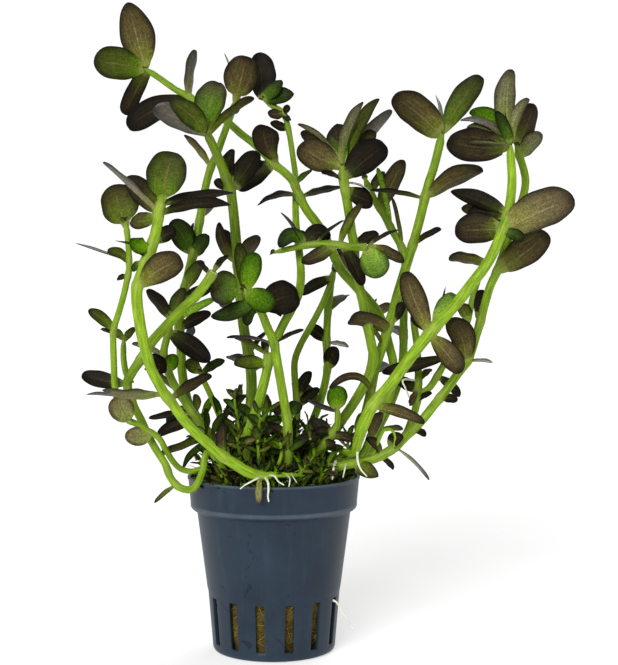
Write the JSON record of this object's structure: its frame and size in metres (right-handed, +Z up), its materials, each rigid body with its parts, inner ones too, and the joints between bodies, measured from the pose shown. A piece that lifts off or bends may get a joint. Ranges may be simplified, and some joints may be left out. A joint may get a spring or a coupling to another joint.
{
  "type": "potted aquarium plant",
  "caption": "Bunch of upright green-stemmed aquatic plants with small oval purple-brown leaves, rooted in a slotted round net pot that stands on its flat base.",
  "frame": {"origin": "centre of the pot's flat base, on the surface that it stands on", "axes": "+Z up along the pot's axis, the pictured side faces -Y, and +X is to its right"},
  "size_m": [0.1481, 0.0835, 0.2029],
  "materials": {
    "pot_plastic": "matt moulded plastic, blue-grey, scuffed",
    "mineral_wool": "fibrous yellow-brown mineral wool",
    "tangle": "low dark-green leaves and moss",
    "stem": "fleshy lime-green stem, waxy and slightly hairy",
    "leaf_green": "green upper side with a dark edge",
    "leaf_brown": "brown-purple underside with pale parallel veins, satin",
    "leaf_dark": "near-black purple, satin"
  },
  "bodies": {
    "root": {"basal_tangle": "tangle", "growing_plug": "mineral_wool", "leaf_arch_low": "leaf_brown", "leaf_arch_middle": "leaf_brown", "leaf_arch_top": "leaf_green", "leaf_back_top": "leaf_brown", "leaf_branch_left": "leaf_dark", "leaf_cluster_left": "leaf_dark", "leaf_cluster_top": "leaf_brown", "leaf_dark_left": "leaf_brown", "leaf_dark_top": "leaf_green", "leaf_diagonal_left": "leaf_green", "leaf_diagonal_low": "leaf_dark", "leaf_diagonal_middle": "leaf_brown", "leaf_diagonal_top": "leaf_brown", "leaf_fork_top": "leaf_dark", "leaf_front_hanging": "leaf_brown", "leaf_front_left": "leaf_dark", "leaf_front_middle": "leaf_brown", "leaf_front_right": "leaf_brown", "leaf_left_inner": "leaf_dark", "leaf_level_round": "leaf_green", "leaf_loop_left": "leaf_dark", "leaf_low_middle": "leaf_brown", "leaf_low_right": "leaf_brown", "leaf_right_middle": "leaf_brown", "leaf_right_top": "leaf_green", "leaf_right_top_left": "leaf_brown", "leaf_rosette_left": "leaf_green", "leaf_rosette_right": "leaf_dark", "leaf_rosette_up": "leaf_green", "leaf_tall_left": "leaf_brown", "leaf_tall_right": "leaf_dark", "leaf_thin_top": "leaf_brown", "pot": "pot_plastic", "shoot_base": "stem", "shoot_level": "stem", "stem_centre_back": "stem", "stem_centre_dark": "stem", "stem_fork_left": "stem", "stem_fork_right": "stem", "stem_front_arch": "stem", "stem_front_short": "stem", "stem_left_back": "stem", "stem_left_loop": "stem", "stem_left_short": "stem", "stem_left_thin": "stem", "stem_long_diagonal": "stem", "stem_middle_back": "stem", "stem_middle_tall": "stem", "stem_middle_thin": "stem", "stem_rear_left": "stem", "stem_rear_middle": "stem", "stem_right_back": "stem", "stem_right_branch": "stem", "stem_right_front": "stem", "stem_right_inner": "stem", "stem_right_low": "stem", "stem_right_tall": "stem"}
  },
  "joints": []
}
